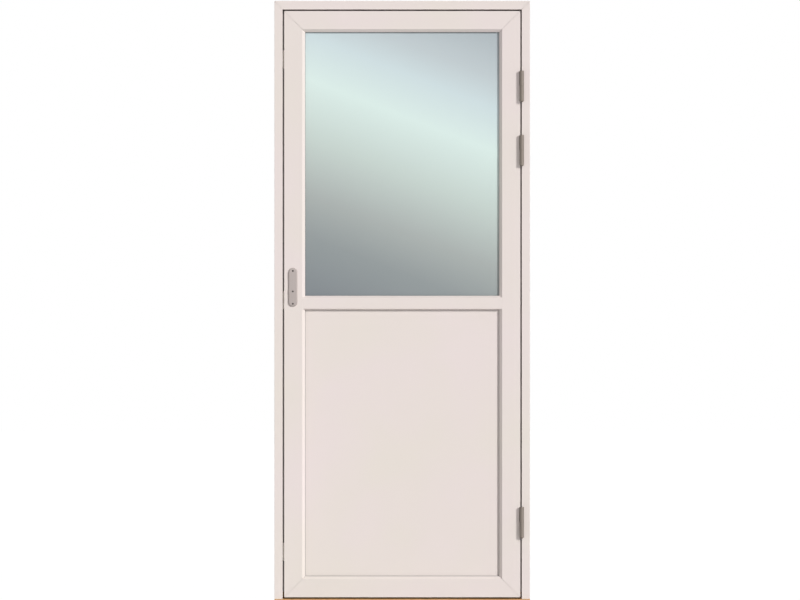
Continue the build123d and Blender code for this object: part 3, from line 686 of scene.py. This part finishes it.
# %% Screws of the hinges and the strikes
FLAG_SCREW_SHARES = (0.2, 0.8)
FLAG_SCREW_SETBACK = 12 * MM
LEAF_FLAG_THICKNESS = 3.5 * MM
FRAME_FLAG_PROUD = 0.5 * MM
CLADDING_WALL = 2 * MM
STRIKE_SCREW_SHARES = (0.12, 0.88)
PROUD = 0.65 * MM


def heights_at(shares, low, high):
    """Heights that lie at shares of the way from low to high."""
    return [low + (high - low) * share for share in shares]


frame_opening_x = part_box("frame_cladding_right")[0].x
leaf_flag_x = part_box("stile_hinge")[1].x + LEAF_FLAG_THICKNESS + PROUD
frame_flag_x = frame_opening_x - FRAME_FLAG_PROUD - PROUD
strike_x = -frame_opening_x - CLADDING_WALL + PROUD
for level in LEVELS:
    low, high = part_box(f"hinge_{level}_leaf_half")
    rows = heights_at(FLAG_SCREW_SHARES, low.z, high.z)
    places = [(leaf_flag_x, high.y - FLAG_SCREW_SETBACK, z) for z in rows]
    put(flag_screw, f"hinge_{level}_leaf_screw", places, (1, 0, 0), "leaf")
    seam_z = low.z
    low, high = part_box(f"hinge_{level}_frame_half")
    rows = heights_at(FLAG_SCREW_SHARES, low.z, seam_z)
    places = [(frame_flag_x, high.y - FLAG_SCREW_SETBACK, z) for z in rows]
    put(flag_screw, f"hinge_{level}_frame_screw", places, (-1, 0, 0), "frame")
    low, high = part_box(f"strike_{level}")
    rows = heights_at(STRIKE_SCREW_SHARES, low.z, high.z)
    places = [(strike_x, (low.y + high.y) / 2, z) for z in rows]
    put(flag_screw, f"strike_{level}_screw", places, (1, 0, 0), "frame")

# %% [markdown]
# The lock's faceplate is a strip of steel let into the leaf's edge along most of its height. It
# takes six of the same screws, which stay clear of its three bolts.

# %% Screws of the faceplate
FACEPLATE_SCREW_SHARES = (0.02, 0.2, 0.36, 0.6, 0.8, 0.98)

low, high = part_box("lock_faceplate")
rows = heights_at(FACEPLATE_SCREW_SHARES, low.z, high.z)
places = [(low.x - PROUD, (low.y + high.y) / 2, z) for z in rows]
put(flag_screw, "faceplate_screw", places, (-1, 0, 0), "leaf")

# %% [markdown]
# Long screws fix the frame to the wall through its jambs. Each sits in a steel sleeve that can be
# seen from the wall side, and a moulded cap hides its head in the rebate. Both could be turned from
# a profile with spin, but a disc needs less work: the cap's rim is bevelled and its face dished,
# and the sleeve is pushed in to a deep round socket with the screw's end at its bottom.

# %% Model a cap and a sleeve
ROUND_SIDES = 32
CAP_RADIUS = 9 * MM
CAP_THICKNESS = 1.6 * MM
CAP_BEVEL_SHARE = 0.45
CAP_RIM_SHARE = 0.2
CAP_SLOPE_SHARE = 0.1
CAP_DISH_SHARE = 0.25
SLEEVE_RADIUS = 6.9 * MM
SLEEVE_LENGTH = 16 * MM
SLEEVE_WALL_SHARE = 0.2
SOCKET_SHARE = 0.8
SCREW_END_GAP_SHARE = 0.35
SCREW_END_SHARE = 0.3


def make_cap(name, radius, thickness, finish):
    """A moulded cap: rim bevelled, face dished."""
    cap = upright_disc(name, radius, thickness, ROUND_SIDES)
    cap.data.materials.append(finish)
    pick(cap, "FACE", looks_up)
    bpy.ops.mesh.bevel(offset=thickness * CAP_BEVEL_SHARE, segments=3, affect="EDGES")
    pick(cap, "FACE", lambda face: looks_up(face) and len(face.vertices) == ROUND_SIDES)
    bpy.ops.mesh.inset(thickness=radius * CAP_RIM_SHARE)
    bpy.ops.mesh.inset(thickness=radius * CAP_SLOPE_SHARE)
    bpy.ops.transform.translate(value=(0, 0, -thickness * CAP_DISH_SHARE))
    return smooth_and_close(cap)


def make_sleeve(name, radius, length, finish):
    """A frame sleeve: a round socket with a screw's end at its bottom."""
    sleeve = upright_disc(name, radius, length, ROUND_SIDES)
    sleeve.data.materials.append(finish)
    pick(sleeve, "FACE", looks_up)
    bpy.ops.mesh.inset(thickness=radius * SLEEVE_WALL_SHARE)
    down, up = (0, 0, -length * SOCKET_SHARE), (0, 0, length * SCREW_END_SHARE)
    bpy.ops.mesh.extrude_region_move(TRANSFORM_OT_translate={"value": down})
    bpy.ops.mesh.inset(thickness=radius * SCREW_END_GAP_SHARE)
    bpy.ops.mesh.extrude_region_move(TRANSFORM_OT_translate={"value": up})
    return smooth_and_close(sleeve)


moulded_cap = matt_polymer("moulded_cap_white", "#E6DDD7", "#E1D8D2", 0.45)
cap = make_cap("fixing_cap_pattern", CAP_RADIUS, CAP_THICKNESS, moulded_cap)
sleeve = make_sleeve("fixing_sleeve_pattern", SLEEVE_RADIUS, SLEEVE_LENGTH, bright_steel)

# %% [markdown]
# Each jamb is fixed at four heights, evenly spaced between a first one near the threshold and a
# last one near the head. A cap lies on the rebate, midway between the jamb's front and the back of
# the seal, and the sleeve stands at the same spot on the wall side, a little sunk.

# %% Put caps and sleeves in
FIXING_FIRST = 100 * MM
FIXING_BELOW_TOP = 120 * MM
FIXING_COUNT = 4
SLEEVE_SETBACK = 1.5 * MM

jamb_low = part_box("jamb_left")[0]
frame_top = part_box("head")[1].z
fixing_y = (jamb_low.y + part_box("frame_seal")[1].y) / 2
spacing = (frame_top - FIXING_FIRST - FIXING_BELOW_TOP) / (FIXING_COUNT - 1)
fixing_rows = [FIXING_FIRST + i * spacing for i in range(FIXING_COUNT)]
for side, sign in (("left", -1), ("right", 1)):
    rebate_x = sign * (frame_opening_x + CLADDING_WALL - CAP_THICKNESS)
    wall_x = sign * (abs(jamb_low.x) - SLEEVE_SETBACK)
    caps = [(rebate_x, fixing_y, z) for z in fixing_rows]
    sleeves = [(wall_x, fixing_y, z) for z in fixing_rows]
    put(cap, f"fixing_cap_{side}", caps, (-sign, 0, 0), "frame")
    put(sleeve, f"fixing_sleeve_{side}", sleeves, (sign, 0, 0), "frame")

# %% [markdown]
# Between the two knuckles of each hinge lies a thin washer of black nylon, so that steel doesn't
# run on steel. A disc with a hole cut in it would do. An open tube whose wall is thickened inwards
# gives the same ring with even faces, and leaves the hole for the pin.

# %% Hinge washers
KNUCKLE_RADIUS = 7.5 * MM
WASHER_SIDES = 48
WASHER_RADIUS = 7.2 * MM
WASHER_WALL = 2.8 * MM
WASHER_THICKNESS = 0.36 * MM
HALF_SEAM = 0.2 * MM

nylon = matt_polymer("black_nylon", "#302D2B", "#272423", 0.5)
deselect_all()
bpy.ops.mesh.primitive_cylinder_add(
    vertices=WASHER_SIDES, radius=WASHER_RADIUS, depth=WASHER_THICKNESS, end_fill_type="NOTHING"
)
washer = bpy.context.object
washer.name = "washer_pattern"
washer.data.materials.append(nylon)
bpy.ops.object.modifier_add(type="SOLIDIFY")
inward_wall = washer.modifiers[0]
inward_wall.thickness = WASHER_WALL
inward_wall.offset = -1.0
bpy.ops.object.modifier_apply(modifier=inward_wall.name)
smooth_and_close(washer)
for level in LEVELS:
    low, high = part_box(f"hinge_{level}_leaf_half")
    seam = (high.x - KNUCKLE_RADIUS, low.y + KNUCKLE_RADIUS, low.z - HALF_SEAM)
    put(washer, f"hinge_{level}_washer", [seam], (0, 0, 1), "frame")

# %% [markdown]
# The patterns themselves belong to no part of the door, so they are put away once their copies
# stand in place.

# %% Put the patterns away
patterns = (cover_screw, plate_screw, set_screw, flag_screw, cap, sleeve, washer)
for pattern in patterns:
    bpy.data.objects.remove(pattern)
print(len(patterns), "patterns put away")

# %% [markdown]
# The light is a soft sun from the right, a little above and in front of the door. The bevels then
# read as they should: bright on the left and at the foot, dark on the right and at the head. Area
# lamps would do it too, but their light fades along a tall door, and a sun's doesn't. A weak light
# from straight ahead reaches down into the narrow gap round the leaf. It is kept out of
# reflections, or the glass would show it as a glare. Another sun from behind lets the inside be
# seen. With the pale sky they add up to a level at which a colour comes out about as it was
# written.

# %% Lights
SUN_FROM = Vector((0.648, -0.659, 0.383))
SUN_STRENGTH = 2.37
SUN_ANGLE = math.radians(5)
FILL_FROM = Vector((0.0, -0.985, 0.17))
FILL_STRENGTH = 0.28
BACK_FROM = Vector((-0.46, 0.85, 0.27))
BACK_STRENGTH = 2.2


def add_sun(name, comes_from, strength):
    """A sun lamp that shines from a direction."""
    data = bpy.data.lights.new(name, "SUN")
    data.energy = strength
    data.angle = SUN_ANGLE
    lamp = bpy.data.objects.new(name, data)
    lamp.rotation_mode = "QUATERNION"
    lamp.rotation_quaternion = comes_from.to_track_quat("Z", "Y")
    bpy.context.scene.collection.objects.link(lamp)
    print(name, "strength", strength)
    return lamp


add_sun("key_sun", SUN_FROM, SUN_STRENGTH)
add_sun("back_sun", BACK_FROM, BACK_STRENGTH)
front_fill = add_sun("front_fill", FILL_FROM, FILL_STRENGTH)
front_fill.visible_glossy = False

# %% [markdown]
# The background is white for whatever looks straight at it: the camera, a reflection or a view
# through glass. A sky that bright would also flatten every shadow on the door. So the rays are told
# apart, and those that bring light meet a dimmer sky, which only fills the shadows.

# %% White sky for the camera, dimmer sky for the light
SKY_STRENGTH = 0.335
WHITE = linear("#FFFFFF")


def direct_look(tree):
    """1 where a ray comes from the camera, a mirror or a pane, and 0 where it brings light."""
    path = add_node(tree, "ShaderNodeLightPath").outputs
    inputs = {0: path["Is Camera Ray"], 1: path["Is Glossy Ray"]}
    first = add_node(tree, "ShaderNodeMath", inputs, operation="MAXIMUM")
    inputs = {0: first.outputs[0], 1: path["Is Transmission Ray"]}
    return add_node(tree, "ShaderNodeMath", inputs, operation="MAXIMUM").outputs[0]


world = bpy.data.worlds.new("studio_sky")
world.use_nodes = True
bpy.context.scene.world = world
sky_tree = world.node_tree
sky_tree.nodes.clear()
dim_sky = add_node(sky_tree, "ShaderNodeBackground", {"Color": WHITE, "Strength": SKY_STRENGTH})
white_sky = add_node(sky_tree, "ShaderNodeBackground", {"Color": WHITE, "Strength": 1.0})
both = {0: direct_look(sky_tree), 1: dim_sky.outputs[0], 2: white_sky.outputs[0]}
sky = add_node(sky_tree, "ShaderNodeMixShader", both)
add_node(sky_tree, "ShaderNodeOutputWorld", {"Surface": sky.outputs[0]})
print("sky strength", SKY_STRENGTH)

# %% [markdown]
# The floor is a plain pale sheet just under the threshold. Bare, it would draw a grey edge against
# the sky. Most of what the camera sees of it is therefore the same white as the sky, and the rest
# is lit, so that the door still throws a faint shadow on it.

# %% Floor
FLOOR_SIZE = 40.0
FLOOR_DROP = 0.5 * MM
FLOOR_WHITE_SHARE = 0.88
FLOOR_GLOW = 1.08

deselect_all()
bpy.ops.mesh.primitive_plane_add(size=FLOOR_SIZE, location=(0, 0, -FLOOR_DROP))
floor = bpy.context.object
floor.name = "floor"
floor_material, floor_tree, floor_shader = new_material(
    "pale_floor", Base_Color=linear("#C8C8C8"), Roughness=0.9
)
glow = add_node(floor_tree, "ShaderNodeEmission", {"Color": WHITE, "Strength": FLOOR_GLOW})
inputs = {0: direct_look(floor_tree), 1: FLOOR_WHITE_SHARE}
share = add_node(floor_tree, "ShaderNodeMath", inputs, operation="MULTIPLY")
both = {0: share.outputs[0], 1: floor_shader.outputs[0], 2: glow.outputs[0]}
floor_look = add_node(floor_tree, "ShaderNodeMixShader", both)
floor_output = [node for node in floor_tree.nodes if node.type == "OUTPUT_MATERIAL"][0]
floor_tree.links.new(floor_look.outputs[0], floor_output.inputs["Surface"])
floor.data.materials.append(floor_material)
print("floor", FLOOR_SIZE, "m wide")

# %% [markdown]
# Last, the plain view transform shows each colour as it was written.

# %% Finish
bpy.context.scene.view_settings.view_transform = "Standard"
